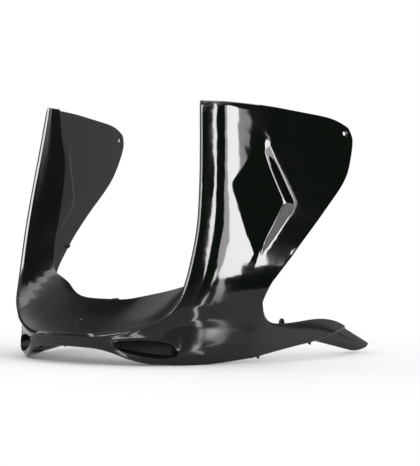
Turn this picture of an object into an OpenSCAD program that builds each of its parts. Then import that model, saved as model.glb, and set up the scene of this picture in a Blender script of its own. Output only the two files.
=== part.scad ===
// Lower leg shield fairing of a light motorcycle, one moulded piece.
// Two tall wings stand on a narrow chin. From one leading edge the shell folds two ways:
// outwards into the glossy side skin with its tail, and rearwards into the wheel well wall.
// Everything is in millimetres. X is sideways, the front faces -Y and Z is up.

/* [Overall] */
// Width across the leading edges at the top of the wings
rim_top_w = 297; // [285:1:310]
// Height of the top of the leading edge above the ground
rim_top_h = 369; // [355:1:385]
// Depth from the top of the leading edge forward to the front of the chin
chin_reach = 124.5; // [118:0.5:132]
// Depth from the top of the leading edge back to the tip of the tail
tail_reach = 357.5; // [340:0.5:375]

/* [Wall] */
// Thickness of the moulded wall
wall = 2.6; // [2:0.1:3.2]
// How far the flat band along the leading edge stands proud
band_h = 1.2; // [0.4:0.1:2]
// Width of that band
band_w = 5.5; // [4:0.25:6]

/* [Wing] */
// Depth from the top of the leading edge back to the furthest point of the wing
wing_reach = 252; // [245:1:260]
// How far the rounded front column stands out from the leading edge
column_w = 20; // [14:0.5:26]
// Depth over which the front column turns into the flank
column_turn = 14; // [9:0.5:18]

/* [Recess] */
// Depth of the diamond recess at its stepped rear edge
recess_d = 5.5; // [2:0.25:7]
// Height of the point of the diamond's step above the ground
recess_h = 224; // [216:1:232]

/* [Intake] */
// Depth of the blind air intake
intake_d = 26; // [12:1:32]
// How far the lip round the front of the intake stands proud
mouth_lip = 2; // [0:0.25:3]

/* [Tail] */
// Step in of the tongue that slides under the next panel
joggle_d = 2.6; // [1.5:0.1:4]
// Width of the lip turned in along the bottom edge
lip_w = 6; // [3:0.5:9]

/* [Fixings] */
// Diameter of the screw hole in the rear corner of each wing
screw_d = 6; // [4:0.25:8]

/* [Hidden] */

// The curves below are drawn for one width and height, then fitted to the ones asked for.
// Only what lies above the land follows the height: [width, height of the land, height]
drawn = [297, 84, 369];
function fit(p) = [p[0] * rim_top_w / drawn[0], p[1],
    p[2] < drawn[1] ? p[2] : mix(drawn[1], rim_top_h, (p[2] - drawn[1]) / (drawn[2] - drawn[1]))];

// Smooth curve through stations, each one [place, value, ...]
function grad(p, k) = let (a = max(k - 1, 0), b = min(k + 1, len(p) - 1))
    (p[b] - p[a]) / (p[b][0] - p[a][0]);
function span(p, s, k = 0) = (k >= len(p) - 2 || s < p[k + 1][0]) ? k : span(p, s, k + 1);
function curve(p, s) = let (
    k = span(p, s),
    step = p[k + 1][0] - p[k][0],
    f = (s - p[k][0]) / step,
    v = (1 + 2 * f) * (1 - f) * (1 - f) * p[k] + f * f * (3 - 2 * f) * p[k + 1]
        + step * f * (1 - f) * ((1 - f) * grad(p, k) - f * grad(p, k + 1)))
    [for (n = [1:len(v) - 1]) v[n]];
function mix(a, b, f) = a + (b - a) * f;
function unit(v) = v / norm(v);

// Leading edge of the right side: [distance down from the top, x, y, height]
rim_line = [
    [0, drawn[0] / 2 + 1, 1, drawn[2]],
    [60, 156.5, -7, 309],
    [120, 163.2, -16.3, 249],
    [180, 167.3, -27, 189],
    [240, 164.1, -41.6, 129],
    [272, 160, -51.4, 99],
    [290, 155.5, -58.8, 84],
    [312, 146, -67.2, 69],
    [332, 131, -77.8, 58.5],
    [360, 108, -93.5, 50.5],
    [387, 80, -109.5, 43.6],
    [415, 52, -121.2, 41.5],
    [465, 0, -chin_reach, 41.5],
    [515, -52, -121.2, 41.5]];
function rim(s) = curve(rim_line, s);
rim_by_height = [for (n = [6:-1:0]) [rim_line[n][3], rim_line[n][1], rim_line[n][2]]];

// How far the flank leans out for each mm of depth, by height
flank_lean = [[84, 0.241], [129, 0.27], [189, 0.2475], [249, 0.224], [300, 0.213], [369, 0.215]];
// Half width of the side skin at a depth y and a height h
function skin_x(y, h) = let (
    r = curve(rim_by_height, h),
    t = max(y - r[1], 0))
    r[0] + column_w * (1 - exp(-t / column_turn)) + curve(flank_lean, h)[0] * t;

// Top edge of the wing seen from the side: [y, height]
top_edge = [[0, drawn[2]], [31, drawn[2]], [104, 364], [163, 357], [209, 351.3], [231, 345.8], [246, 337]];
// Rear edge of the wing seen from the side: [place, y, height]
wing_edge = [[0, 246, 337], [12, wing_reach - 1, 326], [21, wing_reach, 317], [30, 249.5, 308],
    [47, 243.5, 291], [70, 233, 269], [96, 216, 249], [141, 183, 219], [185, 151, 189], [214, 130, 169],
    [241, 111.6, 149], [269, 92, 129], [288, 80, 114], [306, 72, 98], [320, 69, 84]];
// Edges of the tail seen from the side, by fraction of its length
tail_top = [[0, 69, 84], [0.06, 74, 68], [0.16, 92, 56.5], [0.28, 120, 52.6], [0.45, 160, 53.4],
    [0.68, 215, 56.2], [0.79, 243, 54.3], [0.89, 266, 50.4], [1, 290, 41.7]];
tail_bottom = [[0, 62, 6], [0.5, 138, 15], [1, 214, 22.8]];
// Outline of the tongue behind the seam
tongue_root = [[292.5, 38], [218, 22.3]];
tongue_tip = [tail_reach, 12.6];
tongue_turn = [tail_reach - 7, 3.4];
tongue_low = [320, 2];
// Half width of the tail by depth, its bulge, and how far it leans and tucks in at the bottom
tail_x = [[69, 200], [200, 194], [360, 185.5]];
tail_crown = 3;
tail_lean = 9;
tail_tuck = 3;

// Rows run down the skin: wing, rim bend, land, intake, lower land, bottom edge, turned lip
row_top = 0;
row_t = 4;
row_v = 9;
row_b = 15;
row_a = 20;
row_m = 23;
row_p = 26;
row_in0 = 28;
row_in1 = 32;
row_edge = 34;
row_lip = 35;
// Columns run from the middle of the chin to the end of the tongue
col_rim = 4;
col_1 = 13;
col_2 = 19;
col_3 = 21;
col_wing = 27;
col_seam = 37;
col_step = 38;
col_end = 43;

// Front column spacing: a first wide cell leaves room for the band, then even ones
lead = [0, 0.2, 0.285, 0.37, 0.475, 0.58, 0.685, 0.79, 0.895, 1];

// Places on the leading edge: low on the wing, at the land, at the nose of the intake, in the middle
s_low = 250;
s_land = 290;
s_nose = 402;
s_mid = 465;
// Grid lines of the wing at the five row marks: [row, place on rim, diamond front, step, rear]
recess_v = [126.7, recess_h];
net = [
    [row_top, 0, [73, 366], [103, 363.9], [110, 363.3], 0],
    [row_t, 69, [60.5, 293.4], [87, 297], [95.5, 305.4], 36],
    [row_v, 117, [18.2, 250.7], recess_v + [-13, 2.8], recess_v, 118],
    [row_b, 209, [46.9, 154], [58, 155.6], [62.2, 154.1], 228],
    [row_a, s_land, [-7, 84], [10, 84], [16, 84], 320]];
function block(i) = i < row_t ? 0 : i < row_v ? 1 : i < row_b ? 2 : 3;
function along(i, n) = let (b = block(i), f = (i - net[b][0]) / (net[b + 1][0] - net[b][0]))
    mix(net[b][n], net[b + 1][n], f);
function side(i, n) = n == 1 ? let (r = rim(along(i, 1))) [r[1], r[2]]
    : n == 5 ? curve(wing_edge, along(i, 5)) : along(i, n);
function place(j) = j <= col_1 ? [1, lead[j - col_rim]]
    : j <= col_2 ? [2, (j - col_1) / (col_2 - col_1)]
    : j <= col_3 ? [3, (j - col_2) / (col_3 - col_2)]
    : [4, (j - col_3) / (col_wing - col_3)];
function flat_at(i, j) = let (p = place(j)) mix(side(i, p[0]), side(i, p[0] + 1), p[1]);
// The top rows bend to the curved top edge
function wing_side(i, j) = let (
    q = flat_at(i, j),
    k = i < row_t ? 1 - i / row_t : 0,
    q0 = flat_at(0, j))
    k == 0 ? q : [q[0], q[1] + k * (curve(top_edge, q0[0])[0] - q0[1])];

// Depth of the recess along the foot of its step
step_depth = [[row_t - 1, 0], [row_t, 0.55], [row_t + 2, 1], [row_v, 1], [row_b - 2, 0.8],
    [row_b, 0.12], [row_b + 1, 0]];
function foot(i) = (i < row_t || i > row_b) ? 0 : recess_d * curve(step_depth, i)[0];
function wing_point(i, j) = let (q = wing_side(i, j), x = skin_x(q[0], q[1]))
    j == col_rim ? rim(along(i, 1))
    : (foot(i) == 0 || j <= col_1 || j >= col_3) ? [x, q[0], q[1]]
    : j > col_2 ? [x - foot(i) * (col_3 - j) / (col_3 - col_2), q[0], q[1]]
    : let (a = wing_side(i, col_1), b = wing_side(i, col_2))
        [mix(skin_x(a[0], a[1]), skin_x(b[0], b[1]) - foot(i), place(j)[1]), q[0], q[1]];

// Share of the height of the lower side at each row mark
low_rows = [[row_a, 0], [row_m, 0.28], [row_p, 0.54], [row_in0, 0.69], [row_in1, 0.86], [row_edge, 1]];
function share(i) = lookup(min(i, row_edge), low_rows);
function tail_point(f, w) = let (
    q = mix(curve(tail_top, f), curve(tail_bottom, f), w),
    swell = tail_crown * 4 * w * (1 - w) * (0.4 + 0.6 * f))
    [curve(tail_x, q[0])[0] - tail_lean * w * (1 - f) - tail_tuck * w * f + swell, q[0], q[1]];
function arc3(a, b, c, f) = mix(mix(a, b, f), mix(b, c, f), f);
function tongue_point(f, w) = let (
    s = mix(tongue_root[0], tongue_root[1], w),
    e = arc3(tongue_tip, tongue_turn, tongue_low, w),
    q = mix(s, e, f))
    [curve(tail_x, q[0])[0] - joggle_d - tail_tuck * w + tail_crown * 4 * w * (1 - w), q[0], q[1]];

// Lengthwise lines of the lower side, from the rim to below the wing's rear corner:
// [fraction, x, y, height]
line_m = [[0, 112, -91, 52], [0.25, 139, -68, 57], [0.5, 165, -32, 60], [0.75, 184, 13, 62],
    [1, 199.4, 67, 62]];
line_p = [[0, 64.5, -116.9, 42.2], [0.073, 77.5, -109.8, 38], [0.17, 97, -96.5, 39.5],
    [0.35, 135, -69.5, 41], [0.48, 158, -45, 42], [0.6, 172.5, -18, 42], [0.75, 184.5, 16, 42],
    [1, 198, 65.2, 41.9]];
line_in0 = [[0, 63, -115.6, 36], [0.073, 75, -109.5, 32], [0.12, 88, -100.3, 33.8],
    [0.24, 116.9, -80.6, 35], [0.335, 136.2, -67.6, 33], [0.385, 147, -59.6, 29.5],
    [0.43, 155, -53.5, 21], [0.6, 172.5, -19, 29], [0.75, 184, 14.5, 29], [1, 196.4, 64.2, 30.2]];
line_in1 = [[0, 61.5, -114.6, 29.5], [0.073, 76.4, -107.8, 26.5], [0.12, 88, -99.8, 21],
    [0.24, 116.9, -80.6, 11.9], [0.335, 136.2, -67.6, 10], [0.4, 149.5, -59, 11], [0.43, 154.6, -54.6, 14],
    [0.6, 171, -19.5, 12], [0.75, 181.5, 14, 14], [1, 193.3, 63, 17]];
line_edge = [[0, 60, -112.5, 22.2], [0.073, 80, -105.5, 17], [0.12, 93, -97.5, 10.5],
    [0.24, 118, -78, 2], [0.335, 135, -63, 1], [0.43, 150, -46, 0.3], [0.6, 167.5, -13, 0.1],
    [0.75, 179.5, 16, 2], [1, 191, 62, 6]];
chin_line = [
    [row_in0, 0, -122.6, 36.4],
    [row_in1, 0, -121, 29.8],
    [row_edge, 0, -119.2, 24.4]];

function col_f(j) = j <= col_1 ? 0.43 * lead[j - col_rim]
    : j <= col_3 ? 0.43 + 0.19 * (j - col_1) / (col_3 - col_1)
    : 0.62 + 0.38 * (j - col_3) / (col_wing - col_3);
function rim_place(i) = mix(s_land, s_nose, (i - row_a) / (row_p - row_a));
// Between the wing's last row and the land above the intake the lines blend smoothly
function bend(i, j) = let (
    f = col_f(j),
    up = wing_point(row_a - 2, j),
    a = wing_point(row_a, j),
    m = curve(line_m, f),
    p = curve(line_p, f),
    st = [concat([row_a - 2], up), concat([row_a], a), concat([row_m], m), concat([row_p], p),
        concat([row_in0], curve(line_in0, f))],
    q = curve(st, i),
    k = pow(1 - f, 4))
    q + k * (rim(rim_place(i)) - curve([for (r = st) [r[0], each (r[0] == row_a ? rim(s_land)
        : r[0] == row_m ? curve(line_m, 0) : r[0] == row_p ? curve(line_p, 0)
        : r[0] < row_a ? rim(s_low) : curve(line_in0, 0))]], i));
function low_side(i, j) = let (f = col_f(j))
    i < row_p ? bend(i, j)
    : i <= row_in0 ? mix(curve(line_p, f), curve(line_in0, f), (i - row_p) / (row_in0 - row_p))
    : i <= row_in1 ? mix(curve(line_in0, f), curve(line_in1, f), (i - row_in0) / (row_in1 - row_in0))
    : mix(curve(line_in1, f), curve(line_edge, f), (i - row_in1) / (row_edge - row_in1));
// Face of the chin between its middle and the nose of the intake
function chin_rim(j) = mix(s_mid, s_nose, j / col_rim);
function chin_point(i, j) = let (
    f = j / col_rim,
    c = i <= row_in0 ? mix(rim(s_mid), curve(chin_line, row_in0), (i - row_p) / (row_in0 - row_p))
        : curve(chin_line, i),
    e = low_side(i, col_rim),
    r = rim(chin_rim(j)),
    bow = [r[0], mix(c[1], e[1], f * f), mix(c[2], e[2], f * f)])
    i == row_p ? r : [mix(0, e[0], f), bow[1], bow[2]];
// Inside the opening the surface drops to the floor of the intake, whose roof and sole spread a little
intake_in = [-0.56, 0.83, 0.02];
intake_spread = 2.5;
function intake_drop(i, j) = let (
    f = (j - col_rim - 1) / (col_1 - col_rim - 1),
    up = i == row_in0 + 1 ? intake_spread : i == row_in1 - 1 ? -intake_spread : 0)
    (i > row_in0 && i < row_in1 && f > 0 && f < 1)
    ? intake_d * sqrt(sin(180 * f)) * intake_in + [0, 0, up] : [0, 0, 0];
// The lip is proudest round the nose and fades out towards the rear of the mouth
mouth_out = [0.5, -0.86, 0];
lip_fade = [[col_rim, 0], [col_rim + 1, 1], [col_rim + 4, 0.8], [col_1 - 1, 0.2], [col_1, 0]];
function mouth_rise(i, j) = let (
    in_rows = i >= row_in0 && i <= row_in1,
    on_edge = i == row_in0 || i == row_in1 || j == col_rim + 1)
    (in_rows && on_edge && j > col_rim && j < col_1)
    ? mouth_lip * lookup(j, lip_fade) * mouth_out : [0, 0, 0];
function edge_point(j) = j > col_seam ? tongue_point((j - col_step) / (col_end - col_step), 1)
    : j >= col_wing ? tail_point((j - col_wing) / (col_seam - col_wing), 1)
    : j >= col_rim ? low_side(row_edge, j) : chin_point(row_edge, j);
function lip_dir(j) = j == 0 ? [0, 1, 0]
    : let (t = unit(edge_point(min(j + 1, col_end)) - edge_point(j - 1)), n = unit([-t[1], t[0], 0])) n;
lip_rise = [0, 0, 0.6];
function skin(i, j) =
    i == row_lip ? edge_point(j) + lip_w * lip_dir(j) + lip_rise
    : j > col_seam ? tongue_point((j - col_step) / (col_end - col_step), share(i))
    : j > col_wing ? tail_point((j - col_wing) / (col_seam - col_wing), share(i))
    : i <= row_a ? wing_point(i, j)
    : j < col_rim ? chin_point(i, j)
    : low_side(i, j) + intake_drop(i, j) + mouth_rise(i, j);

// Rear edge of the wheel well wall, matched to the leading edge by distance down it
well_edge = [[0, 149.5, 25.5, 367.5], [38, 152.3, 31.5, 328.5], [78, 155.3, 43, 288], [120, 158, 41, 246],
    [180, 159, 31, 196], [240, 157.5, 21.5, 162], [290, 153, 14.5, 134], [312, 149, 12.5, 125],
    [334, 140, 12, 119], [348, 129, 13, 114], [360, 117, 10.5, 109], [375, 98, -2.5, 101.8],
    [392, 76, -20, 96.5], [412, 50, -31, 90.3], [438, 25, -26, 88], [s_mid, 0, -18, 87.4],
    [490, -25, -26, 88]];
well_sag = [[0, 0], [240, 0], [320, 1], [380, 0.5], [s_mid, -3], [515, -3]];
well_w = [0, 0.28, 0.46, 0.64, 0.82, 1];
well_last = row_p + col_rim;
function well_place(k) = k <= row_a ? along(k, 1) : k <= row_p ? rim_place(k) : chin_rim(well_last - k);
function well(k, n) = let (
    s = well_place(k),
    f = well_w[n],
    q = mix(rim(s), curve(well_edge, s), f),
    x = k == well_last ? 0 : q[0])
    [x, q[1], q[2] - 4 * f * (1 - f) * curve(well_sag, s)[0]];

// The two sheets as grids of points, the side skin with its missing corners left empty
function has(i, j) = (j >= col_rim || i >= row_p) && (j <= col_wing || i >= row_a);
skin_pts = [for (i = [0:row_lip]) [for (j = [0:col_end]) has(i, j) ? fit(skin(i, j)) : undef]];
well_pts = [for (k = [0:well_last]) [for (n = [0:5]) fit(well(k, n))]];

// Outward normals from the neighbours
function skin_n(i, j) = let (
    i0 = i > 0 && has(i - 1, j) ? i - 1 : i,
    i1 = min(i + 1, row_lip),
    j0 = j > 0 && has(i, j - 1) ? j - 1 : j,
    j1 = j < col_end && has(i, j + 1) ? j + 1 : j,
    v = unit(cross(skin_pts[i1][j] - skin_pts[i0][j], skin_pts[i][j1] - skin_pts[i][j0])))
    j == 0 ? unit([0, v[1], v[2]]) : v;
function well_n(k, n) = let (
    k0 = max(k - 1, 0), k1 = min(k + 1, well_last), n0 = max(n - 1, 0), n1 = min(n + 1, 5),
    v = unit(cross(well_pts[k][n1] - well_pts[k][n0], well_pts[k1][n] - well_pts[k0][n])))
    k == well_last ? unit([0, v[1], v[2]]) : v;
// Along the leading edge both inner faces meet in one line
function rim_i(k) = min(k, row_p);
function rim_j(k) = k <= row_p ? col_rim : well_last - k;
function rim_along(k) = let (s = well_place(k)) unit(fit(rim(s + 1)) - fit(rim(max(s - 1, 0))));
function rim_in(k) = let (
    a = skin_n(rim_i(k), rim_j(k)),
    b = well_n(k, 0),
    t = rim_along(k),
    d = -wall * (cross(b, t) + cross(t, a)) / (a * cross(b, t)),
    p = well_pts[k][0] + d)
    k == well_last ? [0, p[1], p[2]] : p;
// The band lies across both outer faces: side 1 is its edge on the skin, side -1 the one on the well
function rim_out(k, side) = let (
    a = skin_n(rim_i(k), rim_j(k)),
    b = well_n(k, 0),
    u = unit(a + b),
    across = cross(u, rim_along(k)),
    p = well_pts[k][0] + band_h * u + side * band_w / 2 * across)
    k == well_last ? [0, p[1], p[2]] : p;
function on_rim(i, j) = (j == col_rim && i <= row_p) || (i == row_p && j <= col_rim);
function rim_k(i, j) = j == col_rim ? i : well_last - j;
skin_outer = [for (i = [0:row_lip]) [for (j = [0:col_end]) !has(i, j) ? undef
    : on_rim(i, j) ? rim_out(rim_k(i, j), 1) : skin_pts[i][j]]];
skin_inner = [for (i = [0:row_lip]) [for (j = [0:col_end]) !has(i, j) ? undef
    : on_rim(i, j) ? rim_in(rim_k(i, j)) : skin_pts[i][j] - wall * skin_n(i, j)]];
well_outer = [for (k = [0:well_last]) [for (n = [0:5]) n == 0 ? rim_out(k, -1) : well_pts[k][n]]];
well_inner = [for (k = [0:well_last]) [for (n = [0:5]) n == 0 ? rim_in(k)
    : well_pts[k][n] - wall * well_n(k, n)]];

// Faces are lists of corner points, turned so that each looks outwards
function quad(a, b, c, d) = [[a, b, c], [a, c, d]];
function back(f) = [for (t = f) [t[0], t[2], t[1]]];
function flatten(l) = [for (a = l) each a];
skin_cells = [for (i = [0:row_lip - 1]) for (j = [0:col_end - 1])
    if (has(i, j) && has(i + 1, j) && has(i, j + 1)) [i, j]];
function cells(g, list) = flatten([for (c = list) let (i = c[0], j = c[1])
    quad(g[i][j], g[i + 1][j], g[i + 1][j + 1], g[i][j + 1])]);
function well_cells(g) = flatten([for (k = [0:well_last - 1]) for (n = [0:4])
    quad(g[k][n], g[k][n + 1], g[k + 1][n + 1], g[k + 1][n])]);
// Wall that closes a free edge from outer corners p, q and inner corners pi, qi
function shut(p, q, pi, qi) = quad(q, p, pi, qi);
function skin_shut(i0, j0, i1, j1) =
    shut(skin_outer[i0][j0], skin_outer[i1][j1], skin_inner[i0][j0], skin_inner[i1][j1]);
function well_shut(k0, n0, k1, n1) =
    shut(well_outer[k0][n0], well_outer[k1][n1], well_inner[k0][n0], well_inner[k1][n1]);
edge_faces = flatten(concat(
    [for (j = [col_rim:col_wing - 1]) skin_shut(0, j + 1, 0, j)],
    [for (i = [0:row_a - 1]) skin_shut(i + 1, col_wing, i, col_wing)],
    [for (j = [col_wing:col_end - 1]) skin_shut(row_a, j + 1, row_a, j)],
    [for (i = [row_a:row_lip - 1]) skin_shut(i + 1, col_end, i, col_end)],
    [for (j = [0:col_end - 1]) skin_shut(row_lip, j, row_lip, j + 1)],
    [for (n = [0:4]) well_shut(0, n, 0, n + 1)],
    [for (k = [0:well_last - 1]) well_shut(k, 5, k + 1, 5)]));
band_faces = flatten([for (k = [0:well_last - 1])
    quad(rim_out(k, 1), rim_out(k, -1), rim_out(k + 1, -1), rim_out(k + 1, 1))]);
top_cap = [[rim_out(0, -1), rim_out(0, 1), rim_in(0)]];
half_faces = concat(band_faces, top_cap, edge_faces,
    cells(skin_outer, skin_cells), back(cells(skin_inner, skin_cells)),
    well_cells(well_outer), back(well_cells(well_inner)));
function flip(p) = [-p[0], p[1], p[2]];
all_faces = concat(half_faces, [for (t = half_faces) [flip(t[0]), flip(t[2]), flip(t[1])]]);

// Middle of the whole depth, so that the origin lies under the centre of the part
band_front = 0.87 * band_h + 0.19 * band_w;
mid_y = (tail_reach - chin_reach - band_front) / 2;

// Screw hole near the rear corner of the wing, cut square to the skin
hole_at = [237, 328];
function on_wing(y, h) = fit([skin_x(y, h), y, h]);
function wing_normal(y, h) = let (p = on_wing(y, h))
    unit(cross(on_wing(y + 1, h) - p, on_wing(y, h + 1) - p));
hole_p = on_wing(hole_at[0], hole_at[1]);
hole_n = wing_normal(hole_at[0], hole_at[1]);
module screw_hole()
    translate(hole_p)
    rotate([0, acos(hole_n[2]), atan2(hole_n[1], hole_n[0])])
    cylinder(d = screw_d, h = 6 * wall, center = true, $fn = 48);

// Rounded slot through the floor of the well, on the middle line
slot_l = 22;
slot_w = 5;
slot_y = -98;
slot_from = 20;
slot_to = 80;
module floor_slot()
    translate([0, slot_y, slot_from])
    linear_extrude(slot_to - slot_from) union() {
        square([slot_w, slot_l], center = true);
        for (e = [-1, 1]) translate([0, e * slot_l / 2]) circle(d = slot_w, $fn = 32);
    }

module shell_body()
    polyhedron(points = flatten(all_faces),
        faces = [for (n = [0:len(all_faces) - 1]) [3 * n, 3 * n + 2, 3 * n + 1]]);

// Small moulded tabs, each [reach, width]
tab_t = 2;
tab_root = 2;
low_tab = [4.5, 6];
top_tab = [8, 12];
wing_tab = [8, 8];
wing_tab_drop = 4;
chin_tab = [16, 8];
floor_tab = [9, 10.5];
// A plate with a round nose that leaves a point towards out and lies flat along across
module tab(at, out, across, size) {
    o = unit(out);
    n = unit(cross(o, across));
    c = cross(n, o);
    nose = size[0] - size[1] / 2;
    multmatrix([[o[0], c[0], n[0], at[0]], [o[1], c[1], n[1], at[1]], [o[2], c[2], n[2], at[2]]])
    translate([0, 0, -tab_t / 2])
    linear_extrude(tab_t) union() {
        translate([-tab_root, -size[1] / 2]) square([nose + tab_root, size[1]]);
        translate([nose, 0]) circle(d = size[1], $fn = 24);
    }
}
function mid_wall(i, j) = (skin_outer[i][j] + skin_inner[i][j]) / 2;
// Tabs of one side: two under the tail, one on top of it, one behind the wing, one behind the chin
module side_tabs() {
    for (j = [col_wing + 1, col_seam - 1])
        tab(mid_wall(row_lip - 1, j), [0, 0.2, -1], [0, 1, 0.15], low_tab);
    tab(mid_wall(row_a, col_wing + 3), [0, 0.1, 1], [0, 1, 0], top_tab);
    tab(mid_wall(row_b, col_wing) - [0, wing_tab_drop, 0], [-1, 0, 0],
        mid_wall(row_b - 1, col_wing) - mid_wall(row_b + 1, col_wing), wing_tab);
    tab(mid_wall(row_lip, col_rim + 2), lip_dir(col_rim + 2), [1, 0, 0], chin_tab);
}
// Tab in the middle of the rear edge of the well floor
module middle_tab()
    tab((well_outer[well_last][5] + well_inner[well_last][5]) / 2, [0, 1, 0.2], [1, 0, 0], floor_tab);

module fairing_shell() {
    color([0.06, 0.07, 0.06])
    translate([0, -mid_y, 0])
    difference() {
        union() {
            shell_body();
            for (m = [0, 1]) mirror([m, 0, 0]) side_tabs();
            middle_tab();
        }
        for (m = [0, 1]) mirror([m, 0, 0]) screw_hole();
        floor_slot();
    }
}

fairing_shell();
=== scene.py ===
# %% [markdown]
# # Lower leg shield fairing of a light motorcycle
# The real part is one injection moulding in glossy black plastic. The imported CAD model already has
# its true folds, wall and holes, so this lesson dresses that shape: it rounds the facets away,
# gives each side of the wall its own finish and lights it the way a studio lights black gloss.

# %% Load the imported model
import math

import bmesh
import bpy
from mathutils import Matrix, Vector
from mathutils.bvhtree import BVHTree


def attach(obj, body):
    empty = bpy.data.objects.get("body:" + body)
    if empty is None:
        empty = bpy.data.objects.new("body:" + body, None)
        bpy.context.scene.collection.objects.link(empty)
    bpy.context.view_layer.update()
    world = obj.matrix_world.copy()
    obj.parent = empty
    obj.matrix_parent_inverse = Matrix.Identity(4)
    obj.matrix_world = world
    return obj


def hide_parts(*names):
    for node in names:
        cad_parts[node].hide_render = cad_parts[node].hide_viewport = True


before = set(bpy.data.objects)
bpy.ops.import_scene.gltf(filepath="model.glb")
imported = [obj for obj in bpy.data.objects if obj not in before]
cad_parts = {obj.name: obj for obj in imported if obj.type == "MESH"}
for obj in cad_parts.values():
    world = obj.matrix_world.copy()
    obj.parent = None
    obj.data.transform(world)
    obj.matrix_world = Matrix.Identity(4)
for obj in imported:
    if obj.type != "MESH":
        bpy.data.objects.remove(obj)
bpy.context.view_layer.update()

# %% [markdown]
# ## Lines of the recess
# The diamond recess is drawn by its lines as seen from the side: the front fold, and the top and
# the foot of the step. In places they are too blunt to be found by their angle, so they are
# written down as (y, height) points before any faces are merged.

# %% The lines of the recess in the side view
SIDE_SKIN_FROM = 0.165
LINE_REACH = 0.0012
SIDE_LINES = {
    "front fold": [(-0.0549, 0.2934), (-0.0972, 0.2507), (-0.0685, 0.154)],
    "step top": [(-0.0199, 0.3054), (0.0113, 0.224), (-0.0532, 0.1541)],
    "step foot": [(-0.0284, 0.297), (-0.0017, 0.2268), (-0.0574, 0.1556)],
}


def off_line(point, line):
    """Distance in the side view from a point to a line of (y, height) points."""
    p = Vector((point.y, point.z))
    gaps = []
    for a, b in zip(line, line[1:]):
        a, b = Vector(a), Vector(b)
        f = max(0, min(1, (p - a).dot(b - a) / (b - a).length_squared))
        gaps.append((p - a.lerp(b, f)).length)
    return min(gaps)


def follows(edge, line):
    """Whether both ends of an edge lie on a line of the side view."""
    return all(off_line(v.co, line) < LINE_REACH for v in edge.verts)


def on_side_line(edge):
    if min(abs(v.co.x) for v in edge.verts) < SIDE_SKIN_FROM:
        return False
    return any(follows(edge, line) for line in SIDE_LINES.values())


print("points in the lines of the recess:", {name: len(line) for name, line in SIDE_LINES.items()})

# %% [markdown]
# ## The shell
# A moulded panel has soft, flowing skin that breaks only at a few real edges: the rims, the step
# of the diamond recess and the mouths of the intakes. A sculpted mesh could copy that, but the
# solid is already right, so a copy of it is merged and its triangles are paired into four-sided
# faces, which a Subdivision Surface modifier smooths best. Edges on the lines of the recess are
# made seams, so that no pair of triangles reaches across them.

# %% Copy the solid and pair its triangles
MERGE_GAP = 0.00002
PAIR_ANGLE, PAIR_SHAPE = math.radians(50), math.radians(85)

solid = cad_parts["fairing_shell"]
bm = bmesh.new()
bm.from_mesh(solid.data)
mark = bm.edges.layers.int.new("rounding")
crease = bm.edges.layers.float.new("crease_edge")
groups = bm.verts.layers.deform.verify()
bmesh.ops.remove_doubles(bm, verts=bm.verts, dist=MERGE_GAP)
for e in bm.edges:
    e.seam = on_side_line(e)
bmesh.ops.join_triangles(
    bm,
    faces=bm.faces,
    cmp_seam=True,
    cmp_sharp=False,
    cmp_uvs=False,
    cmp_vcols=False,
    cmp_materials=False,
    angle_face_threshold=PAIR_ANGLE,
    angle_shape_threshold=PAIR_SHAPE,
)
corner_counts = [len(f.verts) for f in bm.faces]
print("faces:", len(corner_counts), "four-sided:", corner_counts.count(4))

# %% [markdown]
# ## Folds and real edges
# Real edges are found by their angle, and the lines of the recess by their course in the side
# view. Both are rounded with a bevel further on: a subdivided surface would otherwise melt them.

# %% Pick the edges that stay crisp
SHARP_ANGLE = math.radians(20)


def is_crisp(edge):
    open_or_sharp = len(edge.link_faces) != 2 or edge.calc_face_angle(0) > SHARP_ANGLE
    return open_or_sharp or on_side_line(edge)


bm.normal_update()
crisp = [e for e in bm.edges if is_crisp(e)]
print("crisp edges:", len(crisp), "of", len(bm.edges))

# %% [markdown]
# ## Fairing the surface
# Gloss shows every small unevenness of the grid. One light round of smoothing evens it out, as a
# modeller fairs a clay body. Corners on a crisp edge and all of the diamond recess stay put.

# %% Even out the grid between the folds
FAIRING = 0.4
RECESS_ZONE = [
    (-0.065, 0.305), (-0.108, 0.251), (-0.078, 0.145), (-0.045, 0.145), (0.028, 0.224), (-0.005, 0.318),
]


def in_recess(point):
    """Whether a point of the side skins lies inside the outline round the recess."""
    inside = False
    for (y0, z0), (y1, z1) in zip(RECESS_ZONE, RECESS_ZONE[1:] + RECESS_ZONE[:1]):
        if (z0 > point.z) != (z1 > point.z):
            inside ^= point.y < y0 + (y1 - y0) * (point.z - z0) / (z1 - z0)
    return inside and abs(point.x) > SIDE_SKIN_FROM


def even_out(name, verts, factor):
    """One round of smoothing, and a print of how far it moved the corners."""
    before = [v.co.copy() for v in verts]
    bmesh.ops.smooth_vert(
        bm, verts=verts, factor=factor, use_axis_x=True, use_axis_y=True, use_axis_z=True
    )
    moved = [(v.co - old).length for v, old in zip(verts, before)]
    print(name, "corners:", len(verts), "largest move in mm:", round(max(moved) * 1000, 2))


held = {v for e in crisp for v in e.verts}
free = [v for v in bm.verts if v not in held and not in_recess(v.co)]
even_out("free", free, FAIRING)

# %% [markdown]
# ## Which side is which
# Outside, the panel is polished. Inside, the mould leaves a fine matte grain. Painting faces by
# hand would work, but the smooth areas between the real edges already are the sides of the wall,
# so the faces are gathered into such areas.

# %% Gather smooth areas
SIDE_ANGLE = math.radians(38)


def smooth_area(start, taken):
    """All faces reached from one face without crossing a sharp edge."""
    area, todo = [], [start]
    taken.add(start)
    while todo:
        face = todo.pop()
        area.append(face)
        for edge in face.edges:
            if len(edge.link_faces) != 2 or edge.calc_face_angle(0) > SIDE_ANGLE:
                continue
            for near in edge.link_faces:
                if near not in taken:
                    taken.add(near)
                    todo.append(near)
    return area


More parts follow.
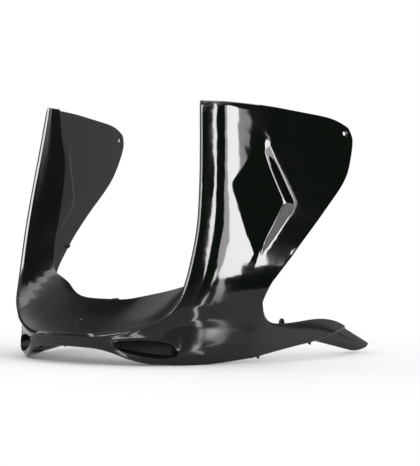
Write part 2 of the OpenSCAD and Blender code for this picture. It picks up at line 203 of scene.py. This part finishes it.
taken = set()
areas = [smooth_area(f, taken) for f in bm.faces if f not in taken]
bm.faces.index_update()
bm.faces.ensure_lookup_table()
area_of = {f.index: n for n, area in enumerate(areas) for f in area}
print("smooth areas:", len(areas), "largest:", sorted(len(a) for a in areas)[-6:])

# %% [markdown]
# Rays then find out which area is which. A ray that starts midway between the wings and runs
# outwards meets the back of a wing first. From the wheel well it meets the well's own wall first,
# and then the two inner sides that face each other behind it. A ray from below meets the
# underside of the floor.

# %% Find the inside of the wall with rays
RAY_STEP = 0.0001
BETWEEN_WINGS, BETWEEN_TAILS, IN_WELL, UNDER_FLOOR = 0.04, 0.05, -0.095, -0.17
tree_of_faces = BVHTree.FromBMesh(bm)


def areas_met(start, direction):
    """The areas of the faces that a ray meets, in order."""
    found, origin = [], Vector(start)
    while True:
        place, _, index, _ = tree_of_faces.ray_cast(origin, Vector(direction))
        if place is None:
            return found
        found.append(area_of[index])
        origin = place + Vector(direction) * RAY_STEP


inside, well = set(), set()
for side in (1, -1):
    for height in (0.24, 0.30, 0.345):
        inside.add(areas_met((0, BETWEEN_WINGS, height), (side, 0, 0))[0])
    for height in (0.16, 0.22, 0.30):
        met = areas_met((0, IN_WELL, height), (side, 0, 0))
        well.add(met[0])
        inside.update(met[1:3])
    for height in (0.035, 0.045):
        inside.add(areas_met((0, BETWEEN_TAILS, height), (side, 0, 0))[0])
for across in (0, 0.06, -0.06):
    inside.add(areas_met((across, UNDER_FLOOR, 0.0), (0, 0, 1))[0])
well -= inside
print("inside areas:", len(inside), "well areas:", len(well))

# %% [markdown]
# The blind air intakes are pockets, whose small walls lie round an axis that runs inward from each
# mouth. They are the darkest places of the part, so they get a finish of their own: a darker grain
# that paints the shade inside the pockets.

# %% Find the intakes and give each area its finish
GLOSS, MATTE, SATIN, POCKET_SHADE = 0, 1, 2, 3
MOUTH, INWARD = Vector((0.117, -0.196, 0.023)), Vector((-0.56, 0.83, 0.02)).normalized()
POCKET_START, POCKET_END, POCKET_RADIUS = 0.002, 0.08, 0.05
POCKET_FACES = 60


def in_pocket(area):
    """Whether a small area lies round the axis of an intake, on either side of the part."""
    middle = sum((f.calc_center_median() for f in area), Vector()) / len(area)
    middle.x = abs(middle.x)
    depth = (middle - MOUTH).dot(INWARD)
    off_axis = (middle - MOUTH - INWARD * depth).length
    is_deep = POCKET_START < depth < POCKET_END
    return is_deep and off_axis < POCKET_RADIUS and len(area) < POCKET_FACES


intake = {n for n, area in enumerate(areas) if in_pocket(area)} - inside - well
for name, numbers, finish in (("matte", inside, MATTE), ("satin", well, SATIN), ("deep", intake, POCKET_SHADE)):
    faces = [face for n in numbers for face in areas[n]]
    for face in faces:
        face.material_index = finish
    print(name, "areas:", len(numbers), "faces:", len(faces))

# %% [markdown]
# The well wall turns sharply into the well floor, and the grid there is coarse for gloss. Both
# sides of that low wall get one more round of smoothing, so its thickness stays the same.

# %% Even out the low part of the well
LOW_WALL_TOP, LOW_WALL_BACK, LOW_WALL_FAIRING = 0.14, 0.06, 0.5


def in_low_wall(vert):
    is_low = vert.co.z < LOW_WALL_TOP and vert.co.y < LOW_WALL_BACK
    return is_low and all(area_of[f.index] in inside | well for f in vert.link_faces)


even_out("low wall", [v for v in free if in_low_wall(v)], LOW_WALL_FAIRING)

# %% [markdown]
# ## Edges
# No moulded edge is truly sharp. A bevel gives each one the thin line of light that the band along
# the rim and the step of the recess show. It cuts 1.5 mm into the faces beside an edge on the
# outer skin at the front and on the step, and 0.5 mm elsewhere. An edge between faces too narrow
# for that stays as it is, because a bevel that is wider than its faces folds over.

# %% Choose how wide each real edge is rounded
WIDE_RADIUS, EDGE_RADIUS = 0.0015, 0.0005
ROOM = 1.6
FRONT_ENDS = -0.03
STEP_LOOP = SIDE_LINES["step top"] + SIDE_LINES["step foot"][::-1]
BESIDE_PART = 0.5
outer = {areas_met((side * BESIDE_PART, -0.09, 0.2), (-side, 0, 0))[0] for side in (1, -1)}


def has_room(edge, radius):
    """Whether the faces beside an edge are broad enough for a bevel of this radius."""
    middle = (edge.verts[0].co + edge.verts[1].co) / 2
    along_edge = (edge.verts[1].co - edge.verts[0].co).normalized()
    for face in edge.link_faces:
        for v in face.verts:
            if v not in edge.verts:
                arm = v.co - middle
                if (arm - along_edge * arm.dot(along_edge)).length < radius * ROOM:
                    return False
    return True


def wants_wide(edge):
    at_front = max(v.co.y for v in edge.verts) < FRONT_ENDS
    on_skin = any(area_of[f.index] in outer for f in edge.link_faces)
    return on_skin and (at_front or follows(edge, STEP_LOOP)) and has_room(edge, WIDE_RADIUS)


wide = [e for e in crisp if wants_wide(e)]
narrow = set(crisp) - set(wide)
for e in narrow:
    e[mark] = int(has_room(e, EDGE_RADIUS))
print("wide:", len(wide), "narrow:", len(narrow), "without room:", sum(not e[mark] for e in narrow))

# %% [markdown]
# Both long sides of a bevel get a crease, which keeps it crisp when the surface is subdivided. The
# short ends, where two bevel faces meet, get none: a crease there would make the outline angular.

# %% Round the real edges
EDGE_CREASE = 1.0
FULL_WEIGHT = 1.0


def bevel(edges, radius):
    """Round the edges, crease each bevel's long sides and put its corners in the first group."""
    done = bmesh.ops.bevel(
        bm,
        geom=edges,
        offset=radius,
        offset_type="OFFSET",
        affect="EDGES",
        segments=1,
        profile=0.5,
        material=-1,
        clamp_overlap=False,
    )
    made = set(done["faces"])
    for face in made:
        for e in face.edges:
            if sum(f in made for f in e.link_faces) == 1:
                e[crease] = EDGE_CREASE
        for v in face.verts:
            v[groups][0] = FULL_WEIGHT
    widths = sorted(min(e.calc_length() for e in f.edges) for f in made)
    print("bevel:", len(edges), "edges, middle width in mm:", round(widths[len(widths) // 2] * 1000, 2))


bevel(wide, WIDE_RADIUS)
bevel([e for e in bm.edges if e[mark] == 1], EDGE_RADIUS)

# %% [markdown]
# ## The piece
# The finished mesh becomes an object at the origin, so that a pattern on its coordinates stays in
# place. Subdivision rounds the skin. Weighted normals keep the faces beside a bevel flat in the
# reflection. They act only on the corners of the bevels, because on the open skin they would show
# the grid as blocks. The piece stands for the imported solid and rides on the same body.

# %% Turn the copy into a piece of the scene
WEIGHT_OF_AREA = 50


def piece_from(name, shape):
    """Write a finished bmesh to a new object of the scene."""
    mesh = bpy.data.meshes.new(name)
    shape.to_mesh(mesh)
    shape.free()
    piece = bpy.data.objects.new(name, mesh)
    bpy.context.scene.collection.objects.link(piece)
    return piece


shell = piece_from("shell_skin", bm)
for face in shell.data.polygons:
    face.use_smooth = True
smooth = shell.modifiers.new("smooth", "SUBSURF")
smooth.levels = smooth.render_levels = 1
even = shell.modifiers.new("even", "WEIGHTED_NORMAL")
even.mode = "FACE_AREA"
even.weight = WEIGHT_OF_AREA
even.vertex_group = shell.vertex_groups.new(name="rounded").name
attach(shell, "root")
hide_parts("fairing_shell")
print("triangles after smoothing:", sum(len(f.vertices) * 2 for f in shell.data.polygons))

# %% [markdown]
# ## Finishes
# A finish here is a pattern in space, read in the part's own coordinates: a noise for patches and
# grain, and a slow change along one axis for wear that grows towards the ground. A painted image
# could do this too, but a pattern stays sharp at any distance and needs no unwrapping.

# %% Helpers for a material and its patterns
def new_material(name):
    mat = bpy.data.materials.new(name)
    mat.use_nodes = True
    tree = mat.node_tree
    tree.nodes.clear()
    out = tree.nodes.new("ShaderNodeOutputMaterial")
    shader = tree.nodes.new("ShaderNodeBsdfPrincipled")
    tree.links.new(shader.outputs["BSDF"], out.inputs["Surface"])
    return mat, tree, shader


def noise(tree, scale, detail=2.0):
    place = tree.nodes.new("ShaderNodeTexCoord")
    tex = tree.nodes.new("ShaderNodeTexNoise")
    tex.inputs["Scale"].default_value = scale
    tex.inputs["Detail"].default_value = detail
    tree.links.new(place.outputs["Object"], tex.inputs["Vector"])
    return tex.outputs["Fac"]


def spread(tree, pattern, low, high):
    """Map a 0..1 pattern to the range low..high."""
    node = tree.nodes.new("ShaderNodeMapRange")
    node.inputs["To Min"].default_value = low
    node.inputs["To Max"].default_value = high
    tree.links.new(pattern, node.inputs["Value"])
    return node.outputs["Result"]


def tinted(tree, pattern, dark, light):
    """Run a pattern through a ramp between two colours."""
    ramp = tree.nodes.new("ShaderNodeValToRGB")
    ramp.color_ramp.elements[0].color = dark + (1,)
    ramp.color_ramp.elements[1].color = light + (1,)
    tree.links.new(pattern, ramp.inputs["Fac"])
    return ramp.outputs["Color"]


print("helpers: new_material, noise, spread, tinted")

# %% [markdown]
# Wear follows the height, and the light in the well follows the distance from its middle. Both
# are one value that runs softly between two places on an axis. Relief comes from stacked bumps,
# because grain and waves this shallow would need millions of faces in the mesh.

# %% Helpers for change along an axis and for relief
def along(tree, axis, start, end, low, high):
    """A value that runs from low to high between two places on an axis, X counted from the middle."""
    where = tree.nodes.new("ShaderNodeTexCoord").outputs["Object"]
    if axis == "X":
        away = tree.nodes.new("ShaderNodeVectorMath")
        away.operation = "ABSOLUTE"
        tree.links.new(where, away.inputs[0])
        where = away.outputs[0]
    axes = tree.nodes.new("ShaderNodeSeparateXYZ")
    tree.links.new(where, axes.inputs[0])
    node = tree.nodes.new("ShaderNodeMapRange")
    node.interpolation_type = "SMOOTHSTEP"
    for socket, value in (("From Min", start), ("From Max", end), ("To Min", low), ("To Max", high)):
        node.inputs[socket].default_value = value
    tree.links.new(axes.outputs[axis], node.inputs["Value"])
    return node.outputs["Result"]


def vary_level(tree, shader, axis, start, end, low, high):
    """Let the specular level run along an axis. The socket's own value is the one at the start."""
    level = shader.inputs["Specular IOR Level"]
    level.default_value = low
    tree.links.new(along(tree, axis, start, end, low, high), level)


def relief(tree, shader, layers):
    """Stack bumps on the shader, each one (pattern, strength, height in metres)."""
    under = None
    for pattern, strength, height in layers:
        bump = tree.nodes.new("ShaderNodeBump")
        if isinstance(strength, float):
            bump.inputs["Strength"].default_value = strength
        else:
            tree.links.new(strength, bump.inputs["Strength"])
        bump.inputs["Distance"].default_value = height
        tree.links.new(pattern, bump.inputs["Height"])
        if under:
            tree.links.new(under.outputs["Normal"], bump.inputs["Normal"])
        under = bump
    tree.links.new(under.outputs["Normal"], shader.inputs["Normal"])


print("helpers: along, vary_level, relief")

# %% [markdown]
# Black gloss plastic shows almost nothing of its own colour. What reads is the reflection, so the
# roughness stays low, with a slow waviness at the front and a faint orange peel from the mould.
# Near the ground the plastic is scuffed, which spreads the reflection.

# %% What the two polished finishes share
PATCHES, WAVES, ORANGE_PEEL = 18.0, 42.0, 320.0
SCUFF_FROM, SCUFF_TO = 0.125, 0.085
WAVY_FROM, WAVY_TO = -0.03, -0.06


def polished_plastic(name, clean_range, scuffed_range):
    """Plastic that is polished high up and scuffed near the ground, with its pattern of patches."""
    mat, tree, shader = new_material(name)
    patches = noise(tree, PATCHES, 3.0)
    finish = tree.nodes.new("ShaderNodeMix")
    tree.links.new(along(tree, "Z", SCUFF_FROM, SCUFF_TO, 0, 1), finish.inputs["Factor"])
    tree.links.new(spread(tree, patches, *clean_range), finish.inputs["A"])
    tree.links.new(spread(tree, patches, *scuffed_range), finish.inputs["B"])
    tree.links.new(finish.outputs["Result"], shader.inputs["Roughness"])
    waviness = noise(tree, WAVES, 1.0), along(tree, "Y", WAVY_FROM, WAVY_TO, 0.03, 0.22), 0.001
    orange_peel = noise(tree, ORANGE_PEEL), 0.03, 0.0002
    relief(tree, shader, [waviness, orange_peel])
    return mat, tree, shader, patches


print("scuffed from", SCUFF_FROM, "down, wavy from", WAVY_FROM, "forward")

# %% [markdown]
# The outside is the glossiest. Towards the ground its colour turns a little paler, a painted
# reflection of the pale floor, and its specular level drops, so it mirrors less; both change with
# the height. A Mix node has sockets of the same name for each kind of data, so those for colours
# are picked by their number.

# %% Gloss plastic outside
LEVEL_FROM, LEVEL_TO = 0.115, 0.08
FLOOR_SHEEN_FROM, FLOOR_SHEEN_TO = 0.11, 0.075
MIX_FACTOR, MIX_A, MIX_B, MIX_RESULT = 0, 6, 7, 2

gloss, tree, shader, patches = polished_plastic("gloss_black_plastic", (0.04, 0.08), (0.11, 0.16))
vary_level(tree, shader, "Z", LEVEL_FROM, LEVEL_TO, 0.4, 0.2)
upper_tint = tinted(tree, patches, (0.0012, 0.0028, 0.0011), (0.0024, 0.0042, 0.0021))
# Near the ground the colour turns paler: a painted reflection of the pale floor.
floor_sheen_tint = tinted(tree, patches, (0.013, 0.015, 0.0145), (0.018, 0.02, 0.019))
floor_sheen_mix = tree.nodes.new("ShaderNodeMix")
floor_sheen_mix.data_type = "RGBA"
tree.links.new(along(tree, "Z", FLOOR_SHEEN_FROM, FLOOR_SHEEN_TO, 0, 1), floor_sheen_mix.inputs[MIX_FACTOR])
tree.links.new(upper_tint, floor_sheen_mix.inputs[MIX_A])
tree.links.new(floor_sheen_tint, floor_sheen_mix.inputs[MIX_B])
tree.links.new(floor_sheen_mix.outputs[MIX_RESULT], shader.inputs["Base Color"])
print(gloss.name, "has", len(tree.nodes), "nodes")

# %% [markdown]
# The wall of the wheel well is the same plastic with less polish. Its middle lies deep under the
# part and mirrors little, and it grows brighter towards its two sides.

# %% Satin plastic in the wheel well
WELL_MIDDLE, WELL_SIDE = 0.05, 0.14

satin, tree, shader, patches = polished_plastic("satin_black_plastic", (0.16, 0.22), (0.2, 0.3))
vary_level(tree, shader, "X", WELL_MIDDLE, WELL_SIDE, 0.15, 0.5)
shade = tinted(tree, patches, (0.0016, 0.0032, 0.0014), (0.0028, 0.0048, 0.0024))
tree.links.new(shade, shader.inputs["Base Color"])
print(satin.name, "has", len(tree.nodes), "nodes")

# %% [markdown]
# The back of the panel keeps the fine matte grain that was etched into the mould. The intakes get a
# darker copy of it, which paints the shade inside the pockets. A tiny bump of fine noise breaks up
# the light and reads as grain. The four materials go on the piece in the order of the numbers that
# its faces were given.

# %% Matte grain inside
CLOUDS, GRAIN = 9.0, 900.0


def matte_grain(name, dark, light, level):
    mat, tree, shader = new_material(name)
    cloud = noise(tree, CLOUDS, 4.0)
    tree.links.new(tinted(tree, cloud, dark, light), shader.inputs["Base Color"])
    tree.links.new(spread(tree, cloud, 0.5, 0.6), shader.inputs["Roughness"])
    shader.inputs["Specular IOR Level"].default_value = level
    relief(tree, shader, [(noise(tree, GRAIN, 3.0), 0.25, 0.0002)])
    return mat


matte = matte_grain("matte_black_grain", (0.0055, 0.006, 0.0055), (0.009, 0.009, 0.009), 0.2)
# A darker copy of the grain paints the shade inside the intake pockets.
deep = matte_grain("pocket_shade_grain", (0.0012, 0.0014, 0.0012), (0.003, 0.003, 0.003), 0.1)
finishes = {GLOSS: gloss, MATTE: matte, SATIN: satin, POCKET_SHADE: deep}
for number in sorted(finishes):
    shell.data.materials.append(finishes[number])
print("materials:", [m.name for m in shell.data.materials])

# %% [markdown]
# ## Studio
# The camera stands where the picture was taken from: 40 degrees round the front corner, almost at
# the height of the part, three metres away. Its place could be set by eye, but pairs of points at
# equal heights on the left and right edges give it exactly, and the length of its lens too.

# %% Camera
AZIMUTH = math.radians(40)
ELEVATION = math.radians(0.67)
DISTANCE = 3.01
AIM = Vector((0, 0.08306, 0.1806))
PHOTO_HEIGHT = 466
FOCAL_PIXELS = 1970
SENSOR = 36

sideways = math.cos(ELEVATION)
back = Vector((math.sin(AZIMUTH) * sideways, -math.cos(AZIMUTH) * sideways, math.sin(ELEVATION)))
lens = bpy.data.cameras.new("camera")
lens.sensor_width = SENSOR
lens.lens = FOCAL_PIXELS / PHOTO_HEIGHT * SENSOR
camera = bpy.data.objects.new("camera", lens)
bpy.context.scene.collection.objects.link(camera)
camera.location = AIM + back * DISTANCE
camera.rotation_mode = "QUATERNION"
camera.rotation_quaternion = (-back).to_track_quat("-Z", "Y")
bpy.context.scene.camera = camera
print("camera at", [round(v, 3) for v in camera.location], "lens in mm:", round(lens.lens, 1))

# %% [markdown]
# The part stands on white paper that runs on far behind it. The paper could be bent up at the back
# as in a studio, but from this low camera a flat round floor already meets the white room without
# a line.

# %% Floor
FLOOR_RADIUS = 40
PAPER_WHITE = 0.93

disc = bmesh.new()
bmesh.ops.create_circle(disc, cap_ends=True, segments=96, radius=FLOOR_RADIUS)
floor = piece_from("floor", disc)
paper, tree, shader = new_material("pale_paper")
shader.inputs["Base Color"].default_value = (PAPER_WHITE, PAPER_WHITE, PAPER_WHITE, 1)
shader.inputs["Roughness"].default_value = 0.9
shader.inputs["Specular IOR Level"].default_value = 0
floor.data.materials.append(paper)
print("floor corners:", len(floor.data.vertices))

# %% [markdown]
# The room lights the part softly from all sides. Where the camera or the gloss looks straight at
# it, a strength of 1 shows as plain white, so the Light Path node tells such rays apart from the
# rays that only carry light.

# %% White surroundings
world = bpy.data.worlds.new("studio")
bpy.context.scene.world = world
world.use_nodes = True
tree = world.node_tree
tree.nodes.clear()


def background(colour, strength):
    node = tree.nodes.new("ShaderNodeBackground")
    node.inputs["Color"].default_value = colour
    node.inputs["Strength"].default_value = strength
    return node.outputs["Background"]


path = tree.nodes.new("ShaderNodeLightPath")
seen = path.outputs["Is Camera Ray"]
for kind in ("Is Glossy Ray", "Is Transmission Ray"):
    either = tree.nodes.new("ShaderNodeMath")
    either.operation = "MAXIMUM"
    tree.links.new(seen, either.inputs[0])
    tree.links.new(path.outputs[kind], either.inputs[1])
    seen = either.outputs[0]
mix = tree.nodes.new("ShaderNodeMixShader")
tree.links.new(seen, mix.inputs["Fac"])
tree.links.new(background((0.9, 0.9, 0.9, 1), 1.21), mix.inputs[1])
tree.links.new(background((1, 1, 1, 1), 1), mix.inputs[2])
out = tree.nodes.new("ShaderNodeOutputWorld")
tree.links.new(mix.outputs["Shader"], out.inputs["Surface"])
print("world nodes:", len(tree.nodes))

# %% [markdown]
# ## Cards for the gloss to mirror
# A studio draws the highlights on black gloss with white cards. Lamps could do it, but a card gives
# a highlight its outline. Each one hangs on a round wall of 6 m where the highlight points, with
# its corners given as (compass angle from +X towards -Y, angle above the part's middle). Only
# mirroring rays see the cards, so they neither light the floor nor throw a shadow.

# %% Helpers for cards
MIDDLE_HEIGHT = 0.2
WALL_RADIUS = 6.0


def glow(name, strength):
    mat = bpy.data.materials.new(name)
    mat.use_nodes = True
    tree = mat.node_tree
    tree.nodes.clear()
    out = tree.nodes.new("ShaderNodeOutputMaterial")
    light = tree.nodes.new("ShaderNodeEmission")
    light.inputs["Strength"].default_value = strength
    tree.links.new(light.outputs["Emission"], out.inputs["Surface"])
    return mat


def hang(name, shape, material):
    """Put a cloth on the stage that shows in gloss, but neither lights nor shades the scene."""
    cloth = piece_from(name, shape)
    cloth.data.materials.append(material)
    cloth.visible_camera = False
    cloth.visible_diffuse = False
    cloth.visible_shadow = False
    print(name, "faces:", len(cloth.data.polygons))


def card_on_wall(name, corners, material):
    card = bmesh.new()
    spots = []
    for turn, rise in corners:
        turn, rise = math.radians(turn), math.radians(rise)
        across = Vector((math.cos(turn), -math.sin(turn), 0))
        height = MIDDLE_HEIGHT + WALL_RADIUS * math.tan(rise)
        spots.append(card.verts.new(across * WALL_RADIUS + Vector((0, 0, height))))
    card.faces.new(spots)
    bmesh.ops.recalc_face_normals(card, faces=card.faces)
    hang(name, card, material)


print("cards hang at", WALL_RADIUS, "m")

# %% [markdown]
# The wide card hangs almost beside the part and gives the broad highlight on the side skin. Its
# left and right parts are dimmer, as the borders of that highlight are, and its bent outline gives
# the highlight its curves.

# %% The wide card
bright = glow("bright_cloth", 24)
soft = glow("soft_cloth", 9)
dim = glow("edge_cloth", 6)
card_on_wall(
    "wide_card",
    [
        (-2.5, -1.85), (-17.5, -1.85), (-20.3, -1.85), (-20.3, 4), (-20.3, 12.5), (-21.5, 15),
        (-20.5, 19.5), (-13, 22), (-8, 22.5), (-7, 19), (-9, 12), (-10, 5),
    ],
    bright,
)
card_on_wall(
    "wide_card_left",
    [
        (-0.5, -1), (1.5, 2.2), (5, 5), (1, 9), (-1.5, 12), (0.5, 15), (-2.5, 19), (-3, 23),
        (-8, 22.5), (-7, 19), (-9, 12), (-10, 5), (-2.5, -1.85),
    ],
    soft,
)
card_on_wall(
    "wide_card_right",
    [(-20.3, 13), (-24.8, 13.3), (-26, 15), (-25, 17), (-22, 18.5), (-20.5, 19), (-21.5, 15)],
    dim,
)

# %% [markdown]
# The narrow card gives the streak beside the front fold. Small cards further round give the lines
# of light along the two rims, and the lights on the nose and on the left.

# %% The narrow card and the small cards
card_on_wall(
    "narrow_card",
    [
        (25.5, 7.5), (28, 11.5), (28.5, 16), (27.5, 20.5), (24.8, 22), (24.4, 34), (20, 34),
        (20.3, 20), (21.5, 17), (23.5, 12), (24, 7.5),
    ],
    bright,
)
card_on_wall("rim_card", [(42, 12), (64, 12), (64, 30), (42, 30)], bright)
card_on_wall("far_rim_card", [(76, 8), (104, 8), (116, 27), (84, 27)], bright)
card_on_wall("nose_card", [(64, -1), (86, -1), (86, 6), (64, 6)], dim)
card_on_wall("left_card", [(142, 6), (160, 6), (160, 22), (142, 22)], dim)

# %% [markdown]
# Between the highlights the gloss is black, although the room is white. Black cloth behind the
# cards and a dark ring of floor below them give those dark fields. Both are open on one side,
# where the white room shows. A pale band along the top of the cloth ends the dark fields there.

# %% Black curtain and dark floor
CURTAIN_RADIUS, CURTAIN_TOP, GREY_FROM = 7.5, 4.4, 3.55
DARK_FLOOR_RADIUS = 0.5
ABOVE_FLOOR = 0.003
OPEN_FROM, OPEN_TO = math.radians(-120), math.radians(-56)


def ring(name, low_radius, high_radius, low, high, material):
    """A ring round the stage between two heights, with a gap where the white room shows."""
    band = bmesh.new()
    bmesh.ops.create_cone(
        band, cap_ends=False, segments=180, radius1=low_radius, radius2=high_radius, depth=high - low
    )
    bmesh.ops.translate(band, verts=band.verts, vec=(0, 0, (low + high) / 2))
    middles = [(f, f.calc_center_median()) for f in band.faces]
    gap = [f for f, middle in middles if OPEN_FROM < math.atan2(-middle.y, middle.x) < OPEN_TO]
    bmesh.ops.delete(band, geom=gap, context="FACES")
    hang(name, band, material)


black = glow("black_cloth", 0.06)
ring("curtain", CURTAIN_RADIUS, CURTAIN_RADIUS, ABOVE_FLOOR, CURTAIN_TOP, black)
ring("curtain_top", 7.45, 7.45, GREY_FROM, CURTAIN_TOP, glow("grey_cloth", 1.2))
ring("dark_floor", CURTAIN_RADIUS, DARK_FLOOR_RADIUS, ABOVE_FLOOR, 2 * ABOVE_FLOOR, black)

# %% [markdown]
# The lower side leans over the floor and mirrors it. Narrow strips of light there show as two bent
# streaks, and a third one lights the nose. Each strip widens with its distance from the part, so
# that its streak keeps one width. A card on the wall carries the front streak on to its end.

# %% Narrow strips of light on the floor
STRIP_HEIGHT = 0.008
STRIPS_MEET = Vector((0.13, -0.15))


def strip(name, line, width_by_distance, material):
    """A flat ribbon along a line of (x, y) points."""
    ribbon = bmesh.new()
    pairs = []
    for n, (x, y) in enumerate(line):
        a, b = Vector(line[max(n - 1, 0)]), Vector(line[min(n + 1, len(line) - 1)])
        far = (Vector((x, y)) - STRIPS_MEET).length
        out = (b - a).orthogonal().normalized() * far * width_by_distance / 2
        pairs.append([ribbon.verts.new((x + out.x * k, y + out.y * k, STRIP_HEIGHT)) for k in (1, -1)])
    for (a, b), (c, d) in zip(pairs, pairs[1:]):
        ribbon.faces.new((a, b, d, c))
    bmesh.ops.recalc_face_normals(ribbon, faces=ribbon.faces)
    hang(name, ribbon, material)


strip(
    "front_strip",
    [(0.21, -0.13), (0.24, -0.15), (0.28, -0.145), (0.5, -0.155), (0.92, -0.17)],
    0.1,
    glow("strip_cloth", 18),
)
strip(
    "rear_strip",
    [(0.27, -0.11), (0.34, -0.07), (0.67, 0.01), (1.15, 0.07), (1.79, 0.20), (2.4, 0.34)],
    0.1,
    glow("strip_cloth_dim", 8),
)
end_cloth = glow("strip_end_cloth", 18)
card_on_wall("strip_end", [(-1, -2.2), (3.4, -2.2), (3.8, 1.6), (0, 1.6)], end_cloth)
strip("nose_strip", [(0.085, -0.236), (0.115, -0.24), (0.14, -0.226)], 0.25, glow("nose_cloth", 14))

# %% [markdown]
# The wide card has a foot that lies on the floor. Its near border ends the wide highlight.

# %% The wide card's foot on the floor
FOOT_HEIGHT = 0.012
FOOT_LINE = [
    (2.3, 0.19), (1.7, 0.235), (1.4, 0.27), (1.43, 0.36), (2.3, 0.655), (4.3, 1.35), (5.6, 1.85),
    (5.85, 0.4),
]

foot = bmesh.new()
foot.faces.new([foot.verts.new((x, y, FOOT_HEIGHT)) for x, y in FOOT_LINE])
hang("wide_card_foot", foot, bright)

# %% [markdown]
# A large soft cloth overhead shows in the rounded edges and in the floor of the well, which face
# upwards.

# %% Large soft cloth overhead
ROOF_HALF_SIZE, ROOF_MIDDLE = (3.1, 3.0, 1), (1.9, 1.0, 3.0)

roof = bmesh.new()
bmesh.ops.create_grid(roof, x_segments=1, y_segments=1, size=1)
bmesh.ops.scale(roof, verts=roof.verts, vec=ROOF_HALF_SIZE)
bmesh.ops.translate(roof, verts=roof.verts, vec=ROOF_MIDDLE)
hang("overhead_cloth", roof, glow("overhead_cloth", 4))

# %% [markdown]
# ## Finish

# %% Finish
bpy.context.scene.view_settings.view_transform = "Standard"
bpy.context.view_layer.update()
